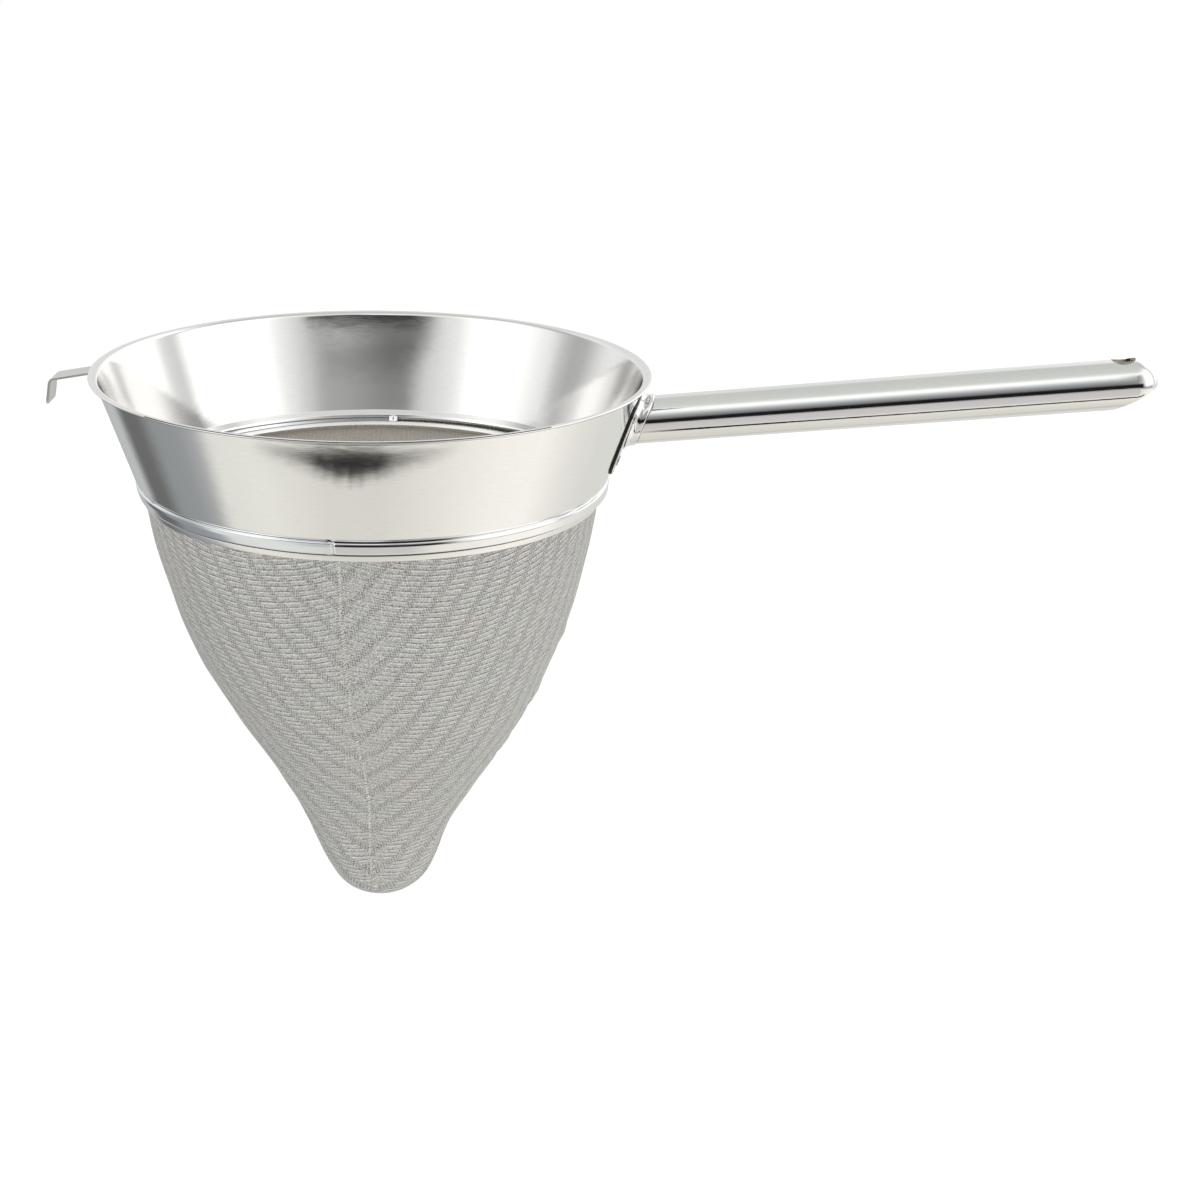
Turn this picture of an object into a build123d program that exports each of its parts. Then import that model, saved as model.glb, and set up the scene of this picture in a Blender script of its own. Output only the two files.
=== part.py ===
from build123d import *

import os
from math import cos, degrees, radians, sin, sqrt, tan

os.makedirs("parts", exist_ok=True)

# Frame: +Z up the cone's axis, +X along the handle, the hook on the -X side.
# The origin is the middle of the mouth, level with the top of the lip's edge.
# Lengths are in millimetres, angles in degrees, and sheets are drawn by their middle.

# Sheets, clearances and cutting tools
collar_gauge = 0.8
band_gauge = 0.6
cloth_gauge = 0.7
plate_gauge = 1.2
strip_gauge = 1.0
tube_wall = 1.2
seat_gap = 0.05
overrun = 6.0

# Collar: a spun cone with a flared lip, and a stepped neck at its foot
mouth_radius = 100.3
lip_reach = 3.1
lip_rise = 2.5
collar_height = 35.8
collar_taper = 19.0
shoulder_step = 1.4
shoulder_drop = 0.9
neck_length = 1.4
neck_lean = 0.4

# Clamp band: two half hoops with a rolled bead, meeting at the front and back joints
front_joint_angle = -93.0
back_joint_angle = 91.0
joint_gap = 0.6
bead_taper_length = 3.4
bead_tuck = 0.3
bead_bulge = 1.15
bead_top_drop = 0.8
bead_crown_drop = 2.1
bead_foot_step = 1.0
bead_foot_drop = 5.0
bead_leg_drop = 0.35
bead_leg_length = 0.7
flat_bulge_share = 0.08
bridge_width = 4.0

# Hoops that hold the cloth's top edge between them
cuff_step = 0.87
groove_opening = 1.3
inner_hoop_thickness = 1.05
inner_hoop_height = 2.6
inner_hoop_chamfer = 0.35
outer_hoop_thickness = 1.0
outer_hoop_height = 1.7
outer_hoop_chamfer = 0.45

# Woven cone, as a many-sided shell from the hoops down to the tip
cone_depth = 165.2
cloth_sides = 44
cone_outline_shares = [
    (0.166, 0.929),
    (0.347, 0.824),
    (0.529, 0.654),
    (0.711, 0.431),
    (0.880, 0.280),
    (0.962, 0.200),
    (1.000, 0.090),
]

# Seam stitched down the front of the cone
seam_angle = -92.0
seam_width = 1.3
seam_thickness = 0.5

# Handle: a plate on the wall, a short socket and a tube whose far end is rounded and bevelled
plate_top = -8.5
plate_height = 26.0
plate_width = 34.0
plate_corner = 4.5
handle_drop = 17.3
handle_tilt = 5.93
socket_lip = 0.3
socket_length = 4.4
tube_radius = 9.1
tube_length = 196.0
nose_round = 7.0
nose_facets = 3
bevel_reach = 17.8
bevel_angle = 26.0
hang_hole_radius = 4.3
hang_hole_inset = 12.2

# Hook: a bent strip under the lip
strip_width = 11.5
leg_length = 13.0
arm_start_drop = 3.0
arm_slope = 10.5
arm_reach = 19.3
tab_length = 9.0
tab_lean = 8.5
leg_bend = 3.0
tab_bend = 2.2
tab_corner = 1.3

# Spot welds, as the shallow buttons that they leave
weld_radius = 2.0
weld_height = 0.3
plate_weld_inset = 5.0
strip_weld_inset = 2.6
strip_weld_pitch = 4.4

full_turn = 360
quarter_turn = 90
half_turn = 180


def point_minus(a, b):
    """The step from b to a."""
    return (a[0] - b[0], a[1] - b[1])


def side_points(points, distance):
    """A line of points moved to its left by a distance, with its corners still sharp."""
    ways = [Vector(*point_minus(b, a)).normalized() for a, b in zip(points, points[1:])]
    moved = []
    for point, before, after in zip(points, ways[:1] + ways, ways + ways[-1:]):
        corner = (before + after).normalized()
        left = Vector(-corner.Y, corner.X)
        moved.append(Vector(*point) + left * (distance / corner.dot(after)))
    return moved


def sheet_face(points, gauge):
    """The section of a folded sheet, from its middle line."""
    left = side_points(points, gauge / 2)
    right = side_points(points, -gauge / 2)
    return make_face(Polyline(*left, *reversed(right), close=True))


def eased(points, bends):
    """A line whose inner corners are cut back to two, as far as a bend of each radius reaches."""
    line = [Vector(*point) for point in points]
    kept = [line[0]]
    for before, corner, after, bend in zip(line, line[1:], line[2:], bends):
        into = (corner - before).normalized()
        out = (after - corner).normalized()
        reach = bend * tan(radians(into.get_angle(out)) / 2)
        kept += [corner - into * reach, corner + out * reach]
    return [(point.X, point.Y) for point in kept + line[-1:]]


def turned(face, angle):
    """A section drawn as radius and height, stood up at an angle about the cone's axis."""
    return Rot(0, 0, angle) * (Plane.XZ * face)


def ring(face, start=0, arc=full_turn):
    """A section drawn as radius and height, turned about the cone's axis."""
    return revolve(turned(face, start), Axis.Z, revolution_arc=arc)


# Places on the collar that other pieces take their size from
lip_slant = sqrt(lip_reach**2 + lip_rise**2)
lip_edge = (mouth_radius + lip_reach, -collar_gauge / 2 * lip_reach / lip_slant)
lip_root = (mouth_radius, lip_edge[1] - lip_rise)
wall_foot = (
    mouth_radius - collar_height * tan(radians(collar_taper)),
    lip_root[1] - collar_height,
)
shoulder = (wall_foot[0] - shoulder_step, wall_foot[1] - shoulder_drop)
neck_end = (shoulder[0] - neck_lean, shoulder[1] - neck_length)
cuff_radius = neck_end[0] - collar_gauge / 2 - cuff_step


def wall_radius(height, stand_off=0):
    """The radius of the wall's outer face at a height, or of a face standing off it."""
    middle = mouth_radius + (height - lip_root[1]) * tan(radians(collar_taper))
    return middle + (collar_gauge / 2 + stand_off) / cos(radians(collar_taper))


def make_collar():
    points = [lip_edge, lip_root, wall_foot, shoulder, neck_end]
    return ring(sheet_face(points, collar_gauge))


# Places on the clamp band and the hoops
band_top = (
    shoulder[0] + collar_gauge / 2 + seat_gap + band_gauge / 2,
    shoulder[1] - bead_tuck,
)
leg_radius = cuff_radius + seat_gap + band_gauge / 2
band_foot = (band_top[0] - bead_foot_step, band_top[1] - bead_foot_drop)
leg_top = (leg_radius, band_foot[1] - bead_leg_drop)
leg_end = (leg_radius, leg_top[1] - bead_leg_length)
inner_hoop_top = neck_end[1] - groove_opening
outer_hoop_top = leg_end[1] - seat_gap
cuff_end = outer_hoop_top - outer_hoop_height


def band_face(bulge_share):
    """The band's section, with the whole bead at a share of 1 and nearly flat at its ends."""
    bulge = bead_bulge * bulge_share
    crown_top = (band_top[0] + bulge, band_top[1] - bead_top_drop)
    crown_foot = (band_top[0] + bulge * bead_crown_share(), band_top[1] - bead_crown_drop)
    points = [band_top, crown_top, crown_foot, band_foot, leg_top, leg_end]
    return sheet_face(points, band_gauge)


def bead_crown_share():
    """How far the bead still stands out at the foot of its crown."""
    return 1 - (bead_crown_drop - bead_top_drop) / bead_foot_drop


def along_band(length):
    """The angle that a length round the band takes up."""
    return degrees(length / band_top[0])


def make_half_band(start, end):
    """A half hoop whose bead tapers away before each joint, leaving half the gap there."""
    first = start + along_band(joint_gap / 2)
    last = end - along_band(joint_gap / 2)
    taper = along_band(bead_taper_length)
    whole = band_face(1)
    flat = band_face(flat_bulge_share)
    body = ring(whole, first + taper, last - first - taper * 2)
    head = loft([turned(flat, first), turned(whole, first + taper)], ruled=True)
    tail = loft([turned(whole, last - taper), turned(flat, last)], ruled=True)
    return body + head + tail


def groove_face(inner_radius, outer_radius):
    """A section that fills the groove between the collar's neck and the inner hoop."""
    top = neck_end[1] - collar_gauge / 4
    foot = inner_hoop_top + seat_gap
    centre = ((inner_radius + outer_radius) / 2, (top + foot) / 2)
    return Pos(*centre) * Rectangle(outer_radius - inner_radius, top - foot)


def make_joint_weld(angle):
    """The weld between two band ends, with the flat bridge that it leaves across the groove."""
    gap = along_band(joint_gap) - along_band(seat_gap * 2)
    width = along_band(bridge_width)
    inner = neck_end[0] - collar_gauge / 2
    band_inner = band_top[0] - band_gauge / 2 - seat_gap
    filler = ring(band_face(flat_bulge_share), angle - gap / 2, gap)
    neck = ring(groove_face(inner, band_top[0]), angle - gap / 2, gap)
    bridge = ring(groove_face(inner, band_inner), angle - width / 2, width)
    return filler + neck + bridge


def hoop_face(inner_radius, top, thickness, height, chamfer_size, outward):
    """A hoop's section, eased at its lower outer corner or its upper inner one."""
    centre = (inner_radius + thickness / 2, top - height / 2)
    face = Pos(*centre) * Rectangle(thickness, height)
    tops = face.vertices().group_by(Axis.Y)
    corner = tops[0].sort_by(Axis.X)[-1] if outward else tops[-1].sort_by(Axis.X)[0]
    return chamfer(corner, chamfer_size)


def make_inner_hoop():
    """The hoop inside the cuff."""
    radius = cuff_radius - cloth_gauge - seat_gap - inner_hoop_thickness
    size = (inner_hoop_thickness, inner_hoop_height, inner_hoop_chamfer)
    return ring(hoop_face(radius, inner_hoop_top, *size, False))


def make_outer_hoop():
    """The hoop outside the cuff, below the band."""
    size = (outer_hoop_thickness, outer_hoop_height, outer_hoop_chamfer)
    return ring(hoop_face(cuff_radius + seat_gap, outer_hoop_top, *size, True))


def cone_points(stand_off=0):
    """The cloth's outer line, from its top edge to the tip's flat, or a line standing off it."""
    points = [(cuff_radius, inner_hoop_top), (cuff_radius, cuff_end)]
    points += [(cuff_radius * r, cuff_end - cone_depth * d) for d, r in cone_outline_shares]
    return side_points(points, stand_off)


def many_sided(points, inscribed):
    """A many-sided solid through a ring at each point, inside or outside the round of its radius."""
    widen = 1 if inscribed else 1 / cos(radians(half_turn / cloth_sides))
    turns = [radians(full_turn * side / cloth_sides) for side in range(cloth_sides)]
    rings = [
        [(widen * point.X * cos(t), widen * point.X * sin(t), point.Y) for t in turns]
        for point in points
    ]
    faces = [make_face(Polyline(*rings[0], close=True)), make_face(Polyline(*rings[-1], close=True))]
    for upper, lower in zip(rings, rings[1:]):
        for side in range(cloth_sides):
            corners = (upper[side - 1], upper[side], lower[side], lower[side - 1])
            faces.append(make_face(Polyline(*corners, close=True)))
    return Solid(Shell([face for sketch in faces for face in sketch.faces()]))


def make_cone():
    """A shell of cloth, with a straight cuff between the hoops."""
    outside = cone_points()
    inside = cone_points(-cloth_gauge)
    inside[-1] = Vector(inside[-1].X, outside[-1].Y + cloth_gauge)
    inside[0] = Vector(inside[0].X, inside[0].Y + overrun)
    return many_sided(outside, True) - many_sided(inside, False)


def make_seam():
    """A ribbon of stitching that lies on the cone from the hoops to the tip."""
    near = cone_points(seat_gap)[1:]
    far = cone_points(seat_gap + seam_thickness)[1:]
    face = make_face(Polyline(*near, *reversed(far), close=True))
    return extrude(turned(face, seam_angle), seam_width / 2, both=True)


def wall_block(stand_off):
    """All that lies within a face standing off the collar's wall, as a solid cone."""
    top = overrun
    foot = wall_foot[1] - overrun
    outline = Polyline(
        (0, foot), (wall_radius(foot, stand_off), foot), (wall_radius(top, stand_off), top), (0, top), close=True
    )
    return ring(make_face(outline))


def make_plate():
    """A patch of the wall's own cone, with its corners rounded."""
    shell = wall_block(seat_gap + plate_gauge) - wall_block(seat_gap)
    outline = RectangleRounded(plate_width, plate_height, plate_corner)
    prism = extrude(Plane.YZ * outline, mouth_radius + plate_height)
    return shell & Pos(0, 0, plate_top - plate_height / 2) * prism


def on_handle(shape):
    """Moves a shape from its own X axis to the handle's."""
    root = (wall_radius(-handle_drop), 0, -handle_drop)
    return Pos(*root) * Rot(0, -handle_tilt, 0) * shape


def root_cut(length):
    """A block that ends in a plane across the handle, parallel to the wall, at a length."""
    size = tube_length
    block = Pos(-size / 2, 0, 0) * Box(size, size, size)
    return Pos(length, 0, 0) * Rot(0, handle_tilt + collar_taper, 0) * block


def make_socket():
    """A short sleeve, seated on the plate and cut off parallel to the wall."""
    length = socket_length + plate_gauge + seat_gap * 2
    sleeve = Rot(0, quarter_turn, 0) * Cylinder(tube_radius + socket_lip, tube_length)
    bore = Rot(0, quarter_turn, 0) * Cylinder(tube_radius - tube_wall, tube_length + overrun)
    kept = on_handle((sleeve & root_cut(length)) - bore)
    seated = kept - wall_block(plate_gauge + seat_gap * 2)
    return seated.solids().sort_by(Axis.X)[-1]


def nose_points(inset):
    """The rounded nose's outline, or its hollow's, from the tube's side to its end's flat."""
    radius = nose_round - inset
    centre = (tube_length - nose_round, tube_radius - nose_round)
    angles = [radians(quarter_turn * step / nose_facets) for step in range(nose_facets + 1)]
    return [(centre[0] + radius * sin(a), centre[1] + radius * cos(a)) for a in angles]


def make_tube():
    """A tube with a rounded nose, bevelled from below, with a hang hole in its top."""
    length = socket_length + plate_gauge + seat_gap * 3
    outside = [(-overrun, 0), (-overrun, tube_radius), *nose_points(0), (tube_length, 0)]
    inside = [(-overrun, 0), (-overrun, tube_radius - tube_wall), *nose_points(tube_wall)]
    inside += [(tube_length - tube_wall, 0)]
    whole = revolve(make_face(Polyline(*outside, close=True)), Axis.X)
    hollow = revolve(make_face(Polyline(*inside, close=True)), Axis.X)
    size = tube_length
    block = Pos(size / 2, 0, -size / 2) * Box(size, size, size)
    bevel = Pos(tube_length - bevel_reach, 0, -tube_radius) * Rot(0, -bevel_angle, 0) * block
    hole = Pos(tube_length - hang_hole_inset, 0, tube_radius)
    hole = hole * Cylinder(hang_hole_radius, tube_radius)
    return on_handle(whole - hollow - root_cut(length) - bevel - hole)


# Places along the hook's middle line, as distance from the cone's axis and height
strip_stand_off = seat_gap + strip_gauge / 2
arm_end = (lip_edge[0] + collar_gauge / 2 + arm_reach - lip_reach, 0)


def hook_points():
    """The hook's middle line: down the wall, out under the lip, and down at the tab."""
    slope = radians(arm_slope)
    wall = radians(collar_taper)
    lean = radians(tab_lean)
    # the wall's face and the arm's line meet where the strip bends away from the wall
    start = (lip_edge[0], -arm_start_drop)
    rise = wall_radius(start[1], strip_stand_off) - start[0]
    bend_height = start[1] - rise * tan(slope) / (1 + tan(slope) * tan(wall))
    bend = (wall_radius(bend_height, strip_stand_off), bend_height)
    tab_bend_point = (start[0] + arm_length(), start[1] - arm_length() * tan(slope))
    leg_end_height = bend[1] - leg_length * cos(wall)
    leg_foot = (wall_radius(leg_end_height, strip_stand_off), leg_end_height)
    tab_foot = (tab_bend_point[0] + tab_length * sin(lean), tab_bend_point[1] - tab_length * cos(lean))
    return [leg_foot, bend, tab_bend_point, tab_foot]


def arm_length():
    """The arm's run from below the lip's edge to the tab."""
    return arm_reach - lip_reach


def make_hook():
    face = sheet_face(eased(hook_points(), [leg_bend, tab_bend]), strip_gauge)
    strip = extrude(turned(face, half_turn), strip_width / 2, both=True)
    corners = strip.edges().filter_by(lambda e: abs(e.length - strip_gauge) < strip_gauge / 10)
    return fillet(corners, tab_corner)


def weld_button():
    """A low button with its flat side on the ground."""
    return extrude(Circle(weld_radius), weld_height)


def on_wall(shape, height, sideways, stand_off, angle=0):
    """Stands a shape on a face that stands off the wall, at a height and a distance round it."""
    radius = wall_radius(height, stand_off)
    turn = degrees(sideways / radius)
    place = Pos(radius, 0, height) * Rot(0, quarter_turn + collar_taper, 0)
    return Rot(0, 0, angle + turn) * place * shape


def make_plate_welds():
    """Four buttons near the plate's corners."""
    half_width = plate_width / 2 - plate_weld_inset
    heights = [plate_top - plate_weld_inset, plate_top - plate_height + plate_weld_inset]
    stand_off = plate_gauge + seat_gap * 2
    return [
        on_wall(weld_button(), height, side * half_width, stand_off)
        for height in heights
        for side in (1, -1)
    ]


def make_hook_welds():
    """Two buttons down the hook's leg."""
    leg_foot = hook_points()[0]
    stand_off = strip_gauge + seat_gap * 2
    heights = [leg_foot[1] + strip_weld_inset, leg_foot[1] + strip_weld_inset + strip_weld_pitch]
    return [on_wall(weld_button(), height, 0, stand_off, half_turn) for height in heights]


def save(name, *shapes):
    """Writes a node, from one solid or several."""
    solids = [solid for shape in shapes for solid in shape.solids()]
    export_step(solids[0] if len(solids) == 1 else Compound(solids), f"parts/{name}.step")


def main():
    save("collar", make_collar())
    save("clamp_band_handle_side", make_half_band(front_joint_angle, back_joint_angle))
    save("clamp_band_hook_side", make_half_band(back_joint_angle, front_joint_angle + full_turn))
    front = make_joint_weld(front_joint_angle)
    back = make_joint_weld(back_joint_angle)
    save("band_joint_welds", front, back)
    save("inner_hoop", make_inner_hoop())
    save("outer_hoop", make_outer_hoop())
    save("mesh_cone", make_cone())
    save("seam_stitching", make_seam())
    save("handle_plate", make_plate())
    save("handle_socket", make_socket())
    save("handle_tube", make_tube())
    save("hook_strip", make_hook())
    save("plate_spot_welds", *make_plate_welds())
    save("hook_spot_welds", *make_hook_welds())


main()
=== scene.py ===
import math
import random

import bmesh
import bpy
from mathutils import Matrix, Vector

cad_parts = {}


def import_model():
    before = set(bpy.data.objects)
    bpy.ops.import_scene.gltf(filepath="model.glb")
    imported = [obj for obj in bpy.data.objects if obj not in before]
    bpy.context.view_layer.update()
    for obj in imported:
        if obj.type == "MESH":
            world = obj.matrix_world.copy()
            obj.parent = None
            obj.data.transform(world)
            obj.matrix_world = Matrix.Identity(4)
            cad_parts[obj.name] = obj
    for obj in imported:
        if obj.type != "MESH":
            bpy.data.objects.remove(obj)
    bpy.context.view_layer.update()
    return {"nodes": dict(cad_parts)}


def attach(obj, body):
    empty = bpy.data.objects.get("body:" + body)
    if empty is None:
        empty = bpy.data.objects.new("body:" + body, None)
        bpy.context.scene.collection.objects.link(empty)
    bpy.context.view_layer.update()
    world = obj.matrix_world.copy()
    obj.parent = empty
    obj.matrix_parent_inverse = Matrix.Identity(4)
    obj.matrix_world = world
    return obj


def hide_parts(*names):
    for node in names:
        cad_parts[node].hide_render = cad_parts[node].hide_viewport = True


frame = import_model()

# Places are in millimetres, as radius and height about the cone's axis, and meshes are in metres.
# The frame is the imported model's: +Z up the cone, +X along the handle, the mouth's middle at 0.
MM = 0.001

# Angles round the cone's axis, in degrees from the handle
SEAM = -92.0
FRONT_JOINT = -93.0
BACK_JOINT = 91.0

# Gauges of the sheets, and the radii at which lengths round the axis are measured
COLLAR_GAUGE = 0.8
BAND_GAUGE = 0.6
CLOTH_GAUGE = 0.7
PLATE_GAUGE = 1.2
TUBE_GAUGE = 1.2
STRIP_GAUGE = 1.0
BEAD_RADIUS = 87.3
NECK_RADIUS = 86.5

# The collar's wall, by its slope and one place on its middle line
TAPER = math.radians(19.0)
WALL_RADIUS = 100.3
WALL_HEIGHT = -2.81

# The handle's axis and its tube. The plate's face is the plate's gauge and a fine gap off the wall
TILT = math.radians(5.93)
HANDLE_ROOT = Vector((95.734, 0.0, -17.3))
HANDLE_WAY = Vector((math.cos(TILT), 0.0, math.sin(TILT)))
HANDLE_UP = Vector((-math.sin(TILT), 0.0, math.cos(TILT)))
HANDLE_SIDE = Vector((0.0, 1.0, 0.0))
PLATE_FACE = 1.25
HANDLE_BORE = 7.9
HANDLE_LENGTH = 196.0
NOSE_RADIUS = 8.9
BODY_END = HANDLE_LENGTH - NOSE_RADIUS


# Sections
def bend(before, corner, after, radius, steps):
    """The arc that a corner is bent to, as points."""
    into = (corner - before).normalized()
    out = (after - corner).normalized()
    turn = into.angle(out)
    if turn < 1e-4 or radius <= 0:
        return [corner]
    reach = radius * math.tan(turn / 2)
    reach = min(reach, (corner - before).length * 0.49, (after - corner).length * 0.49)
    radius = reach / math.tan(turn / 2)
    start = corner - into * reach
    side = Vector((-into.y, into.x))
    if side.dot(out) < 0:
        side = -side
    centre = start + side * radius
    points = []
    for step in range(steps + 1):
        a = turn * step / steps
        points.append(centre - side * (radius * math.cos(a)) + into * (radius * math.sin(a)))
    return points


def bent_line(points, radii, steps):
    """An open line with its inner corners bent."""
    points = [Vector(p) for p in points]
    line = [points[0]]
    for before, corner, after, radius in zip(points, points[1:], points[2:], radii):
        line += bend(before, corner, after, radius, steps)
    return line + [points[-1]]


def bent_loop(points, radii, steps):
    """A closed line with all its corners bent."""
    points = [Vector(p) for p in points]
    loop = []
    for i, corner in enumerate(points):
        loop += bend(points[i - 1], corner, points[(i + 1) % len(points)], radii[i], steps)
    return loop


def sheet_loop(line, gauge, cap=4):
    """The closed outline of a sheet of one gauge about a line, with rounded edges."""
    ways = [(b - a).normalized() for a, b in zip(line, line[1:])]
    left, right = [], []
    for point, before, after in zip(line, ways[:1] + ways, ways + ways[-1:]):
        mid = (before + after).normalized()
        side = Vector((-mid.y, mid.x)) * (gauge / 2 / max(0.3, mid.dot(after)))
        left.append(point + side)
        right.append(point - side)

    def edge(point, way, sign):
        side = Vector((-way.y, way.x))
        out = []
        for step in range(1, cap):
            a = math.pi * step / cap
            across = side * (gauge / 2 * math.cos(a) * sign)
            ahead = way * (gauge / 2 * math.sin(a) * sign)
            out.append(point + across + ahead)
        return out

    return left + edge(line[-1], ways[-1], 1) + right[::-1] + edge(line[0], ways[0], -1)


def held(line, longest=3.0, hold=0.25):
    """Puts points near the ends of long straight runs, so that shading stays flat between two bends."""
    out = [line[0]]
    for a, b in zip(line, line[1:]):
        length = (b - a).length
        if length > longest:
            way = (b - a) / length
            out += [a + way * hold, a + way * (2 * hold), b - way * (2 * hold), b - way * hold]
        out.append(b)
    return out


def smooth_curve(points, steps):
    """A smooth line through points."""
    points = [Vector(p) for p in points]
    ends = [points[0] * 2 - points[1]] + points + [points[-1] * 2 - points[-2]]
    line = []
    for a, b, c, d in zip(ends, ends[1:], ends[2:], ends[3:]):
        for step in range(steps):
            t = step / steps
            square = (a * 2 - b * 5 + c * 4 - d) * t * t
            cube = (b * 3 - a - c * 3 + d) * t ** 3
            line.append((b * 2 + (c - a) * t + square + cube) / 2)
    return line + [points[-1]]


def between(table, at):
    """A value read from a table of (place, value) with rising places, in straight steps."""
    if at <= table[0][0]:
        return table[0][1]
    for (a, u), (b, v) in zip(table, table[1:]):
        if at <= b:
            return u + (v - u) * (at - a) / (b - a)
    return table[-1][1]


def ease(start, end, value):
    """0 at the start and 1 at the end, with a smooth rise."""
    t = min(1.0, max(0.0, (value - start) / (end - start)))
    return t * t * (3 - 2 * t)


def degrees_round(length, radius):
    """The angle that a length takes up round the axis."""
    return math.degrees(length / radius)


def length_round(degrees, radius):
    """The length that an angle takes up round the axis."""
    return degrees * math.radians(radius)


def turn_from(angle, centre):
    """An angle counted from a centre, between half a turn back and half a turn on."""
    return (angle - centre + 180.0) % 360.0 - 180.0


# Meshes
def new_object(name, verts, faces):
    mesh = bpy.data.meshes.new(name)
    mesh.from_pydata([tuple(c * MM for c in v) for v in verts], [], faces)
    made = bpy.data.objects.new(name, mesh)
    bpy.context.scene.collection.objects.link(made)
    return made


def new_piece(name, verts, faces, nodes, material, sharp=40.0):
    """A piece of the object, shaded smooth up to a sharp angle."""
    piece = new_object(name, verts, faces)
    mesh = piece.data
    mesh.validate()
    for polygon in mesh.polygons:
        polygon.use_smooth = True
    mesh.set_sharp_from_angle(angle=math.radians(sharp))
    mesh.materials.append(material)
    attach(piece, "root")
    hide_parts(*nodes)
    return piece


def skin(rings, size, base=0, closed=False, turned=False):
    """Faces between closed rings of equal size. turned gives the faces their other side."""
    faces = []
    for i in range(rings if closed else rings - 1):
        here = base + i * size
        there = base + (i + 1) % rings * size
        for j in range(size):
            k = (j + 1) % size
            if turned:
                faces.append((here + j, there + j, there + k, here + k))
            else:
                faces.append((here + j, here + k, there + k, there + j))
    return faces


def ring_face(ring, size, base=0):
    """The face that closes one ring."""
    return tuple(base + ring * size + j for j in range(size))


def lathe_mesh(loop_at, steps, start=0.0, end=360.0):
    """Vertices and faces of a closed section turned about +Z. loop_at gives the section at an angle."""
    whole = abs(end - start - 360.0) < 1e-6
    count = steps if whole else steps + 1
    verts = []
    for i in range(count):
        angle = start + (end - start) * i / steps
        a = math.radians(angle)
        verts += [(p[0] * math.cos(a), p[0] * math.sin(a), p[1]) for p in loop_at(angle)]
    size = len(verts) // count
    faces = skin(count, size, closed=whole, turned=True)
    if not whole:
        faces += [ring_face(0, size)[::-1], ring_face(count - 1, size)]
    return verts, faces


def outward(piece):
    """Turns every face of a closed mesh outwards."""
    bm = bmesh.new()
    bm.from_mesh(piece.data)
    bmesh.ops.recalc_face_normals(bm, faces=bm.faces)
    bm.to_mesh(piece.data)
    bm.free()
    return piece


def lathe(name, loop, steps, nodes, material):
    """A piece with one section all round the axis."""
    verts, faces = lathe_mesh(lambda angle: loop, steps)
    return outward(new_piece(name, verts, faces, nodes, material))


# Shader graphs
def shade(colour):
    """A linear colour from a grey level or three levels."""
    if isinstance(colour, (int, float)):
        colour = (colour, colour, colour)
    return (*colour[:3], 1.0)


def scaled(colour, share):
    return tuple(c * share for c in colour)


class Graph:
    """Short calls for building a node tree."""

    def __init__(self, tree):
        self.tree = tree
        tree.nodes.clear()

    def put(self, socket, value):
        if isinstance(value, bpy.types.NodeSocket):
            self.tree.links.new(value, socket)
        else:
            socket.default_value = value

    def node(self, kind, inputs=(), **settings):
        node = self.tree.nodes.new(kind)
        for key, value in settings.items():
            setattr(node, key, value)
        for key, value in dict(inputs).items():
            self.put(node.inputs[key], value)
        return node

    def math(self, operation, *values):
        return self.node("ShaderNodeMath", enumerate(values), operation=operation).outputs[0]

    def add(self, a, b):
        return self.math("ADD", a, b)

    def times(self, a, b):
        return self.math("MULTIPLY", a, b)

    def less(self, a, b):
        return self.math("SUBTRACT", a, b)

    def rise(self, value, start, end, first=0.0, last=1.0):
        """A smooth change from the first level to the last one."""
        inputs = enumerate((value, start, end, first, last))
        return self.node("ShaderNodeMapRange", inputs, interpolation_type="SMOOTHSTEP").outputs[0]

    def window(self, value, centre, half, soft):
        """1 within half of the centre, falling to 0 over a soft edge."""
        away = self.math("ABSOLUTE", self.less(value, centre))
        return self.rise(away, half - soft / 2, half + soft / 2, 1.0, 0.0)

    def ramp(self, value, stops):
        node = self.node("ShaderNodeValToRGB", {0: value})
        elements = node.color_ramp.elements
        while len(elements) < len(stops):
            elements.new(0.5)
        for element, (place, _) in zip(elements, stops):
            element.position = place
        for element, (_, colour) in zip(elements, stops):
            element.color = shade(colour)
        return node.outputs[0]

    def mix(self, share, a, b, blend="MIX"):
        node = self.node("ShaderNodeMix", {0: share}, data_type="RGBA", blend_type=blend)
        self.put(node.inputs[6], a if isinstance(a, bpy.types.NodeSocket) else shade(a))
        self.put(node.inputs[7], b if isinstance(b, bpy.types.NodeSocket) else shade(b))
        return node.outputs[2]

    def noise(self, vector, scale, detail, rough):
        inputs = {"Vector": vector, "Scale": scale, "Detail": detail, "Roughness": rough}
        return self.node("ShaderNodeTexNoise", inputs).outputs["Fac"]

    def join(self, x, y, z):
        return self.node("ShaderNodeCombineXYZ", enumerate((x, y, z))).outputs[0]

    def split(self, vector):
        return self.node("ShaderNodeSeparateXYZ", {0: vector}).outputs

    def output(self, shader, kind="ShaderNodeOutputMaterial"):
        self.node(kind, {"Surface": shader.outputs[0]})

    def surface(self, colour, metallic, roughness, height):
        """A principled surface with a height in metres."""
        bump = self.node("ShaderNodeBump", {"Height": height, "Distance": 1.0, "Strength": 1.0}).outputs[0]
        inputs = {"Base Color": colour, "Metallic": metallic, "Roughness": roughness, "Normal": bump}
        shader = self.node("ShaderNodeBsdfPrincipled", inputs)
        self.output(shader)
        return shader


def new_material(name):
    """An empty material and its graph."""
    material = bpy.data.materials.new(name)
    material.use_nodes = True
    return material, Graph(material.node_tree)


# Materials
GRAIN_HEIGHT = 0.000004
WEAVE_HEIGHT = 0.00006
STAIN = (0.42, 0.30, 0.18)


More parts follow.
